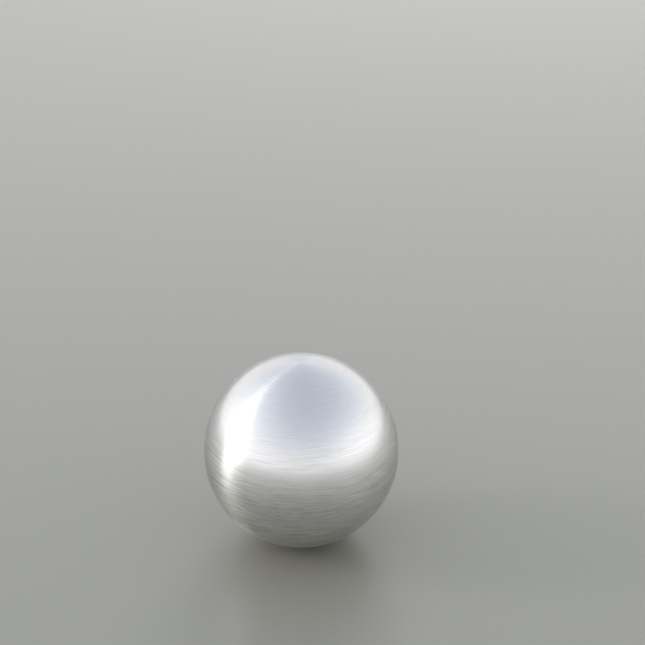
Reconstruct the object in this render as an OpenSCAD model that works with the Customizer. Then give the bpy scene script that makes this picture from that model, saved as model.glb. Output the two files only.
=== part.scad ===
// Decorative ball in matt brushed stainless steel, for a desk, a shelf or a garden bowl.
//
// It is made from two pressed half shells, welded rim to rim, ground flush and brushed
// while the ball turns about one axis. What is left is a single closed round: no seam,
// hole, flat or foot. The inside can't be seen or reached, so the ball is one filled solid.
//
// Frame: millimetres, +Z up. The origin is the centre of the ball, and Z is the axis that
// it turned about while it was brushed, so the brushed grain runs in level rings.

/* [Ball] */
// Outside diameter of the finished ball
ball_d = 100; // [40:1:300]

/* [Hidden] */
// Sides that stand for the full circle where the round is drawn with straight edges
round_sides = 144;
// Matt stainless steel, a slightly warm light grey
brushed_steel = [0.74, 0.74, 0.73];

// The whole ball, round in every direction
module ball() {
    color(brushed_steel)
        sphere(d = ball_d, $fn = round_sides);
}

ball();
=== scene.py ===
# %% [markdown]
# # A brushed steel ball in a small studio
#
# The real object is a hollow ball of stainless steel, 100 mm across. Two half shells were
# pressed from sheet, welded rim to rim, ground until the weld was gone, and then brushed
# while the ball turned about its upright axis. What a viewer sees is one unbroken round,
# and its whole character is in its finish: thousands of fine scratches in level rings.
#
# The construction file already holds the exact round, so no mesh is made here for the ball.
# This lesson is about three things: how to shade that round without a flaw, how to build a
# brushed finish from a few simple rules, and how to give the metal a plain studio to mirror.

# %% Load the fixed frame
import math

import bpy
import numpy as np
from mathutils import Matrix, Vector


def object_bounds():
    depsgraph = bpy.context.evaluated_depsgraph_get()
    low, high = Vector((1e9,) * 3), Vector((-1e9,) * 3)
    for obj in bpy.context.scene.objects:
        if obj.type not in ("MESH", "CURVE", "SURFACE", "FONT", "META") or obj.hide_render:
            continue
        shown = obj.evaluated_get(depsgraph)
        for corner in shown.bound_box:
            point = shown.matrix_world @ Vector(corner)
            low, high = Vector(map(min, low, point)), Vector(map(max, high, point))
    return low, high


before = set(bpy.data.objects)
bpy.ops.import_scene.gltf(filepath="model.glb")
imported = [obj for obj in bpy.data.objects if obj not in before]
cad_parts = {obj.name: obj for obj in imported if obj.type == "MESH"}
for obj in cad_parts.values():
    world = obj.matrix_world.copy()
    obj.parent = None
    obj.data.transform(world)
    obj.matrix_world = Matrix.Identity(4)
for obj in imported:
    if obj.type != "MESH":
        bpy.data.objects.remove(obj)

mm = 0.001

cad_low, cad_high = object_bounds()
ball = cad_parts["ball"]
radius = cad_high.z
scene = bpy.context.scene
print(f"ball: {2 * radius / mm:.1f} mm across, {len(ball.data.polygons)} triangles")

# %% [markdown]
# ## The camera
#
# The viewer stands a metre away with a long lens and looks down at 25 degrees, and the ball
# lies below and a little left of the middle of the frame. The camera could be placed by
# eye, but the outline of a round tells everything: where its centre is seen gives the
# direction, and how wide it is seen gives the distance. So both are worked out from there,
# and the frame is never shifted.

# %% Directions of the tilted camera
look_down_deg = 25

pitch = math.radians(look_down_deg)
camera_right = Vector((1, 0, 0))
camera_ahead = Vector((0, math.cos(pitch), -math.sin(pitch)))
camera_down = Vector((0, -math.sin(pitch), -math.cos(pitch)))
print(f"camera: looks along {[round(part, 3) for part in camera_ahead]}")

# %% Where the ball's outline says the camera is
frame_px = 645
focal_px = 2050
outline_centre_px = (301.3, 449.8)
outline_radius_px = 97.3

across_px = outline_centre_px[0] - frame_px / 2
below_px = outline_centre_px[1] - frame_px / 2
to_ball = across_px * camera_right + below_px * camera_down + focal_px * camera_ahead
distance = radius * to_ball.length / outline_radius_px
camera_place = -distance * to_ball.normalized()
print(f"camera: {distance:.3f} m from the ball's centre")

# %% Make the camera
sensor_mm = 36

camera_data = bpy.data.cameras.new("camera")
camera_data.sensor_width = sensor_mm
camera_data.lens = sensor_mm * focal_px / frame_px
camera = bpy.data.objects.new("camera", camera_data)
turned = Matrix((camera_right, -camera_down, -camera_ahead)).transposed().to_4x4()
camera.matrix_world = Matrix.Translation(camera_place) @ turned
scene.collection.objects.link(camera)
scene.camera = camera
print(f"camera: {camera_data.lens:.0f} mm lens at {[round(part, 3) for part in camera_place]}")

# %% [markdown]
# ## Smooth shading for a mirror-like round
#
# A mirror shows an error of one degree in a normal. The round's triangles are exact, but
# where the surface closes on itself, along one meridian, the stored normals lean by up to
# 2.7 degrees, which would show as an upright crease in the reflection. The points could be
# merged and shaded smooth, but the mesh of the construction model stays as it is. A Normal
# Edit modifier does the same job from outside: it points every normal straight out from
# the centre, which is what the normals of a round are.

# %% Point every normal out from the centre
radial = ball.modifiers.new("radial_normals", "NORMAL_EDIT")
radial.mode = "RADIAL"
print(f"{ball.name}: normals are {radial.mode.lower()}")

# %% Measure how far any normal still leans
shown = ball.evaluated_get(bpy.context.evaluated_depsgraph_get()).to_mesh()
corner_count = len(shown.loops)
corner_normals = np.empty(corner_count * 3)
shown.corner_normals.foreach_get("vector", corner_normals)
corner_points = np.empty(corner_count, int)
shown.loops.foreach_get("vertex_index", corner_points)
point_places = np.empty(len(shown.vertices) * 3)
shown.vertices.foreach_get("co", point_places)

outward = point_places.reshape(-1, 3)[corner_points] / radius
cosines = np.sum(outward * corner_normals.reshape(-1, 3), axis=1)
lean_deg = np.degrees(np.arccos(np.clip(cosines, -1, 1)))
print(f"normals lean by {lean_deg.mean():.3f} degrees on average, {lean_deg.max():.2f} at most")

# %% [markdown]
# ## Building blocks for the finish
#
# A finish could be drawn by hand in the node editor, but then nobody can read how it came
# about. Written as code it is a recipe. A few small helpers keep the recipe short: one
# starts a node group with named sockets, one adds a node and fills in its inputs, and the
# others do sums on numbers and vectors. An input may be a plain value or another node's
# output.

# %% Start a node group
def new_group(name, inputs, outputs):
    """Start a shader node group. inputs and outputs map a socket's name to its type."""
    tree = bpy.data.node_groups.new(name, "ShaderNodeTree")
    for in_out, sockets in (("INPUT", inputs), ("OUTPUT", outputs)):
        for socket, kind in sockets.items():
            tree.interface.new_socket(socket, in_out=in_out, socket_type=kind)
    given = tree.nodes.new("NodeGroupInput").outputs
    result = tree.nodes.new("NodeGroupOutput").inputs
    return tree, given, result


# %% Add a node
def add(tree, kind, settings=None, **inputs):
    """Add one node. settings are its own properties, and inputs go to its sockets.

    Base_Color=... fills the socket "Base Color", and in0=... fills the first socket.
    """
    node = tree.nodes.new(kind)
    for name, value in (settings or {}).items():
        setattr(node, name, value)
    for name, value in inputs.items():
        numbered = name.startswith("in") and name[2:].isdigit()
        socket = node.inputs[int(name[2:]) if numbered else name.replace("_", " ")]
        if isinstance(value, bpy.types.NodeSocket):
            tree.links.new(value, socket)
        else:
            socket.default_value = value
    return node


# %% Sums with nodes
def maths(tree, operation, *values):
    """The result of a Math node on one, two or three numbers."""
    inputs = {f"in{i}": value for i, value in enumerate(values)}
    return add(tree, "ShaderNodeMath", {"operation": operation}, **inputs).outputs[0]


def vectors(tree, operation, *values, output="Vector", **inputs):
    """The result of a Vector Math node on one or two vectors."""
    inputs.update({f"in{i}": value for i, value in enumerate(values)})
    return add(tree, "ShaderNodeVectorMath", {"operation": operation}, **inputs).outputs[output]


def weighted_sum(tree, numbers, weights):
    """Each number times its weight, all added up."""
    total = 0.0
    for number, weight in zip(numbers, weights):
        total = maths(tree, "MULTIPLY_ADD", number, weight, total)
    return total


def smooth_step(tree, value, low, high):
    """0 below low, 1 above high, and an S-shaped curve from one to the other."""
    settings = {"interpolation_type": "SMOOTHSTEP"}
    step = add(tree, "ShaderNodeMapRange", settings, Value=value, From_Min=low, From_Max=high)
    return step.outputs["Result"]


# %% [markdown]
# ## Ring coordinates
#
# A brush leaves scratches that are long round the ball and very narrow up and down it.
# Plain noise has blobs, but noise that is read in stretched coordinates has streaks. An
# angle round the axis would be the obvious coordinate, but it jumps at the back, and its
# streaks shrink to points at the poles. So each point keeps its place across the ball, x
# and y, divided by the length of a stroke, and takes its distance along the curve from
# the equator divided by the width of a groove. The curve's own length is used, and not
# the height, so that grooves near the top are as narrow as those at the equator.

# %% Ring coordinates as a node group
FLOAT, VECTOR = "NodeSocketFloat", "NodeSocketVector"


def ring_coordinates_group():
    """x and y over the stroke's length, and the arc from the equator over the groove's width.

    The arc is the radius times the arcsine of the height over the radius.
    """
    tree, given, result = new_group(
        "ring_coordinates",
        {"Place": VECTOR, "Radius": FLOAT, "Stroke Length": FLOAT, "Groove Width": FLOAT},
        {"Rings": VECTOR},
    )
    place = add(tree, "ShaderNodeSeparateXYZ", Vector=given["Place"]).outputs
    level = maths(tree, "DIVIDE", place["Z"], given["Radius"])
    in_reach = maths(tree, "MINIMUM", maths(tree, "MAXIMUM", level, -1), 1)
    arc = maths(tree, "MULTIPLY", maths(tree, "ARCSINE", in_reach), given["Radius"])
    rings = add(
        tree,
        "ShaderNodeCombineXYZ",
        X=maths(tree, "DIVIDE", place["X"], given["Stroke Length"]),
        Y=maths(tree, "DIVIDE", place["Y"], given["Stroke Length"]),
        Z=maths(tree, "DIVIDE", arc, given["Groove Width"]),
    )
    tree.links.new(rings.outputs["Vector"], result["Rings"])
    return tree


ring_coordinates = ring_coordinates_group()
print(f"{ring_coordinates.name}: {len(ring_coordinates.nodes)} nodes")

# %% [markdown]
# ## Brush strokes
#
# One pass of a brush is noise read in ring coordinates. No two passes run quite level, so
# the ball is turned a little before its rings are measured, and passes with different
# turns cross at a shallow angle, as real strokes do. Two things come out: the height of
# the surface, which is the plain noise, and the strokes, which are the same noise with
# its contrast raised, because a groove is either there or not.

# %% Brush strokes as a node group
noise_detail = 2.0
noise_roughness = 0.55
noise_middle = 0.5
stroke_edge = 0.15


def brush_strokes_group():
    """Noise in ring coordinates that lean a little. Strokes go smoothly from 0 to 1."""
    tree, given, result = new_group(
        "brush_strokes",
        {
            "Place": VECTOR,
            "Radius": FLOAT,
            "Stroke Length": FLOAT,
            "Groove Width": FLOAT,
            "Lean": VECTOR,
            "Seed": FLOAT,
        },
        {"Height": FLOAT, "Strokes": FLOAT},
    )
    leaning = add(
        tree,
        "ShaderNodeVectorRotate",
        {"rotation_type": "EULER_XYZ"},
        Vector=given["Place"],
        Rotation=given["Lean"],
    )
    rings = add(
        tree,
        "ShaderNodeGroup",
        {"node_tree": ring_coordinates},
        Place=leaning.outputs["Vector"],
        Radius=given["Radius"],
        Stroke_Length=given["Stroke Length"],
        Groove_Width=given["Groove Width"],
    )
    noise = add(
        tree,
        "ShaderNodeTexNoise",
        {"noise_dimensions": "4D"},
        Vector=rings.outputs["Rings"],
        W=given["Seed"],
        Scale=1.0,
        Detail=noise_detail,
        Roughness=noise_roughness,
    ).outputs["Fac"]
    crisp = smooth_step(tree, noise, noise_middle - stroke_edge, noise_middle + stroke_edge)
    tree.links.new(noise, result["Height"])
    tree.links.new(crisp, result["Strokes"])
    return tree


brush_strokes = brush_strokes_group()
print(f"{brush_strokes.name}: {len(brush_strokes.nodes)} nodes")

# %% [markdown]
# ## Three passes over each other
#
# One tile of noise would look like one tool. A real ball has been through several: here
# they are the coarse strokes of an abrasive belt, the fine strokes of a fleece wheel, and
# the hairlines of the last polish, far narrower than the eye can part. Each pass is the
# same node group with its own sizes, lean and seed.

# %% The three passes
stroke_sizes_mm = ((20, 0.55), (14, 0.28), (12, 0.02))
pass_lean_deg = ((0.0, 0.0), (0.6, -0.4), (-0.7, 0.9))


def brush_passes(tree, place):
    """One node of brush strokes for each pass, all over the same ball."""
    passes = []
    for number, (sizes, lean) in enumerate(zip(stroke_sizes_mm, pass_lean_deg), start=1):
        length, width = (size * mm for size in sizes)
        strokes = add(
            tree,
            "ShaderNodeGroup",
            {"node_tree": brush_strokes},
            Place=place,
            Radius=radius,
            Stroke_Length=length,
            Groove_Width=width,
            Lean=[math.radians(angle) for angle in (*lean, 0)],
            Seed=number,
        )
        passes.append(strokes.outputs)
    return passes


print(f"passes: {len(stroke_sizes_mm)}, strokes (length, width) in mm: {stroke_sizes_mm}")

# %% [markdown]
# ## Roughness: bright metal between dull hairlines
#
# One roughness all over would do for satin paint. Brushed metal is two surfaces in one:
# nearly bright metal, and hairlines in it that scatter light widely. Too fine to be seen
# one by one, they blend, and a highlight gets a clear core and a long soft tail.
#
# The coarser strokes vary the bright metal's own roughness a little. They also crowd the
# hairlines: where a stroke is deep, a hairline needs less height to count. This is what
# makes the grain sparkle beside a highlight and stay quiet in the middle of one.

# %% Roughness of the worn metal
bright_roughness = (0.14, 0.19)
stroke_share = (0.6, 0.4)
crowding = 0.04
hairline_edges = (0.46, 0.64)
hairline_extra = 0.26


def worn_roughness(tree, belt, fleece, hairlines):
    """The bright metal's roughness by the strokes over it, plus an extra for each hairline."""
    worn = weighted_sum(tree, (belt["Strokes"], fleece["Strokes"]), stroke_share)
    smoothest, dullest = bright_roughness
    between = maths(tree, "MULTIPLY_ADD", worn, dullest - smoothest, smoothest)
    crowded = maths(tree, "MULTIPLY_ADD", worn, crowding, hairlines["Height"])
    hairline = smooth_step(tree, crowded, *hairline_edges)
    return maths(tree, "MULTIPLY_ADD", hairline, hairline_extra, between)


print(f"roughness: {bright_roughness} between hairlines, {hairline_extra} more on them")

# %% [markdown]
# ## Which way the scratches run
#
# Scratches spread a highlight across themselves and hardly along themselves. That is why
# a lamp becomes a long upright streak on a ball that was brushed in level rings. The
# shader has an anisotropy for this, and it needs to know which way the scratches run: at
# right angles to both the axis and the way out from the centre. Their cross product is
# that direction, with no seam, and a quarter turn puts the wide side of the highlight
# across the scratches.
#
# The strokes do two more things. A scratch holds a little shade, so they vary the colour
# slightly. And the coarser ones are real grooves, so a bump a few micrometres deep tips
# the surface. The hairlines take no part in the bump: they are too fine for it.
# Metal also loses some light at its very edge. A grey edge tint does this, and it keeps
# the outline clear in front of a white wall.

# %% Blend two colours
def mix_colours(tree, share, first, second):
    """The first colour where share is 0, the second where it is 1, and a blend between.

    A Mix node repeats its socket names for each kind of value, so its sockets are numbered.
    """
    mix = add(
        tree,
        "ShaderNodeMix",
        {"data_type": "RGBA"},
        in0=share,
        in6=(*first, 1),
        in7=(*second, 1),
    )
    return mix.outputs[2]


# %% The brushed steel material
scratch_colour = (0.607, 0.598, 0.560)
bright_colour = (0.623, 0.614, 0.575)
shade_share = (0.45, 0.33, 0.22)
groove_depth_um = (8, 3)
micrometre = 1e-6
edge_tint = (0.7, 0.7, 0.7)
anisotropy = 0.95
quarter_turn = 0.25
ball_axis = (0, 0, 1)


def brushed_steel_material():
    """Metal whose colour and roughness come from all three passes, and the bump from two."""
    material = bpy.data.materials.new("brushed_steel")
    material.use_nodes = True
    tree = material.node_tree
    tree.nodes.clear()
    place = add(tree, "ShaderNodeTexCoord").outputs["Object"]
    passes = brush_passes(tree, place)
    shade = weighted_sum(tree, [strokes["Strokes"] for strokes in passes], shade_share)
    height_um = weighted_sum(tree, [strokes["Height"] for strokes in passes], groove_depth_um)
    bump = add(tree, "ShaderNodeBump", Strength=1.0, Distance=micrometre, Height=height_um)
    round_the_axis = vectors(tree, "NORMALIZE", vectors(tree, "CROSS_PRODUCT", ball_axis, place))
    metal = add(
        tree,
        "ShaderNodeBsdfPrincipled",
        Base_Color=mix_colours(tree, shade, scratch_colour, bright_colour),
        Metallic=1.0,
        Roughness=worn_roughness(tree, *passes),
        Specular_Tint=(*edge_tint, 1),
        Anisotropic=anisotropy,
        Anisotropic_Rotation=quarter_turn,
        Normal=bump.outputs["Normal"],
        Tangent=round_the_axis,
    )
    add(tree, "ShaderNodeOutputMaterial", Surface=metal.outputs["BSDF"])
    return material


brushed_steel = brushed_steel_material()
ball.data.materials[0] = brushed_steel
print(f"{brushed_steel.name}: {len(brushed_steel.node_tree.nodes)} nodes")

# %% [markdown]
# ## The floor
#
# The ball lies on a plain pale table. The metal mirrors it over its whole lower half, so
# the table's colour is as much a part of the look as the steel's: a warm light grey with
# a soft gloss. The table is one large square, far wider than the frame, so that no edge
# of it shows in the metal. The ball is at the origin, so the table lies one radius below.

# %% The floor's surface
floor_half = 12.0


def level_square(half, height):
    """A grid of 2 by 2 points: x and y are plus or minus half, and z is the height."""
    x, y = np.meshgrid((-half, half), (-half, half))
    z = np.full_like(x, height)
    return np.stack((x, y, z), axis=-1).reshape(-1, 3)


counter_clockwise = (0, 1, 3, 2)
floor_mesh = bpy.data.meshes.new("floor")
floor_mesh.from_pydata(level_square(floor_half, -radius).tolist(), [], [counter_clockwise])
floor = bpy.data.objects.new("floor", floor_mesh)
scene.collection.objects.link(floor)
print(f"floor: {2 * floor_half:.0f} m square, {radius / mm:.0f} mm below the ball's centre")

# %% The floor's paint
floor_colour = (0.213, 0.206, 0.162)
floor_roughness = 0.36
floor_ior = 1.5

pale_table = bpy.data.materials.new("pale_table")
pale_table.use_nodes = True
pale_table.node_tree.nodes.clear()
paint = add(
    pale_table.node_tree,
    "ShaderNodeBsdfPrincipled",
    Base_Color=(*floor_colour, 1),
    Roughness=floor_roughness,
    IOR=floor_ior,
)
add(pale_table.node_tree, "ShaderNodeOutputMaterial", Surface=paint.outputs["BSDF"])
floor_mesh.materials.append(pale_table)
print(f"{pale_table.name}: colour {floor_colour}, roughness {floor_roughness}")

# %% [markdown]
# ## The room
#
# Polished metal has hardly any look of its own: it shows the room. Lamps in a dark room
# would be hard white spots in black, so here the whole room is the lamp, as in a tent of
# white cloth. Its colour changes only with the height above the horizon: white walls,
# brightest just above the table, and a cooler, darker ceiling. In the ball this becomes
# a bright band at the equator under a blue grey dome.

# %% A colour for each height above the horizon
def elevation_stops(tree, up, stops):
    """Colour by height above the horizon. stops are (degrees, colour), from low to high."""
    ramp = add(tree, "ShaderNodeValToRGB", Fac=up)
    elements = ramp.color_ramp.elements
    while len(elements) < len(stops):
        elements.new(1.0)
    for element, (degrees, colour) in zip(elements, stops):
        element.position = math.sin(math.radians(degrees))
        element.color = (*colour, 1)
    return ramp.outputs["Color"]


# %% [markdown]
# Behind the cloth stand a few soft lights. A narrow strong one on the left draws the long
# bright streak, a low one beside it joins the streak to the band, wider and weaker ones
# soften its edge, and two on the right end the band. Each is a glow in one direction that
# fades as a power of the cosine of the angle to it: a high power is a narrow light, and a
# low power is a wide one.

# %% A soft glow in one direction
def towards(azimuth_deg, elevation_deg):
    """The direction at an azimuth, 0 away from the viewer and 90 to the right, and a height."""
    azimuth, elevation = math.radians(azimuth_deg), math.radians(elevation_deg)
    level = math.cos(elevation)
    return Vector((math.sin(azimuth) * level, math.cos(azimuth) * level, math.sin(elevation)))


def soft_glow(tree, direction, azimuth_deg, elevation_deg, power, colour):
    """colour times a power of the cosine of the angle to the glow's direction."""
    middle = towards(azimuth_deg, elevation_deg)
    cosine = vectors(tree, "DOT_PRODUCT", direction, middle, output="Value")
    fade = maths(tree, "POWER", maths(tree, "MAXIMUM", cosine, 0), power)
    return vectors(tree, "SCALE", colour, Scale=fade)


# %% The room
sky_strength = 1.337
sky_stops = (
    (0, (1.20, 1.20, 1.285)),
    (5, (1.27, 1.27, 1.355)),
    (14, (1.14, 1.14, 1.225)),
    (26, (0.92, 0.95, 1.08)),
    (38, (0.72, 0.78, 0.935)),
    (52, (0.61, 0.67, 0.82)),
    (90, (0.55, 0.61, 0.76)),
)
left_streak = (-86.5, 21, 150.0, (21.0, 21.0, 21.6))
left_haze = (-99, 1, 60.0, (3.2, 3.2, 3.3))
left_edge = (-70, 30, 9.0, (0.3, 0.3, 0.32))
left_wall = (-100, 22, 3.5, (0.42, 0.42, 0.44))
right_wall = (112, 8, 8.0, (0.36, 0.36, 0.38))
right_side = (82, 0, 10.0, (0.36, 0.36, 0.38))


def studio_world():
    """The sky by height, plus the soft glows."""
    world = bpy.data.worlds.new("studio")
    world.use_nodes = True
    tree = world.node_tree
    tree.nodes.clear()
    direction = add(tree, "ShaderNodeTexCoord").outputs["Generated"]
    up = add(tree, "ShaderNodeSeparateXYZ", Vector=direction).outputs["Z"]
    light = vectors(tree, "SCALE", elevation_stops(tree, up, sky_stops), Scale=sky_strength)
    for glow in (left_streak, left_haze, left_edge, left_wall, right_wall, right_side):
        light = vectors(tree, "ADD", light, soft_glow(tree, direction, *glow))
    background = add(tree, "ShaderNodeBackground", Color=light, Strength=1.0)
    add(tree, "ShaderNodeOutputWorld", Surface=background.outputs["Background"])
    return world


scene.world = studio_world()
print(f"{scene.world.name}: {len(scene.world.node_tree.nodes)} nodes")

# %% [markdown]
# ## One lamp behind
#
# A room that is light all round leaves hardly any shadow, and the ball would seem to
# float. One weak, soft lamp behind it brightens the table and draws a shadow towards the
# viewer, which says where the ball stands. Its own mirror image would be one more square
# in the metal, where the room shows none, so glossy rays pass it by.

# %% The lamp behind the ball
lamp_towards_deg = (10, 30)
lamp_away = 1.7
lamp_size = 0.6
lamp_watts = 10.0

lamp_data = bpy.data.lights.new("lamp_behind", "AREA")
lamp_data.size = lamp_size
lamp_data.energy = lamp_watts
lamp = bpy.data.objects.new("lamp_behind", lamp_data)
lamp.location = lamp_away * towards(*lamp_towards_deg)
lamp.rotation_euler = lamp.location.to_track_quat("Z", "Y").to_euler()
lamp.visible_glossy = False
scene.collection.objects.link(lamp)
print(f"{lamp.name}: {lamp_watts:.0f} W, {lamp_away} m from the ball")

# %% [markdown]
# ## Plain colours
#
# With the Standard view a colour comes out as it was written, and no film curve changes
# it. Nothing above has touched the shape.

# %% Plain colours
scene.view_settings.view_transform = "Standard"
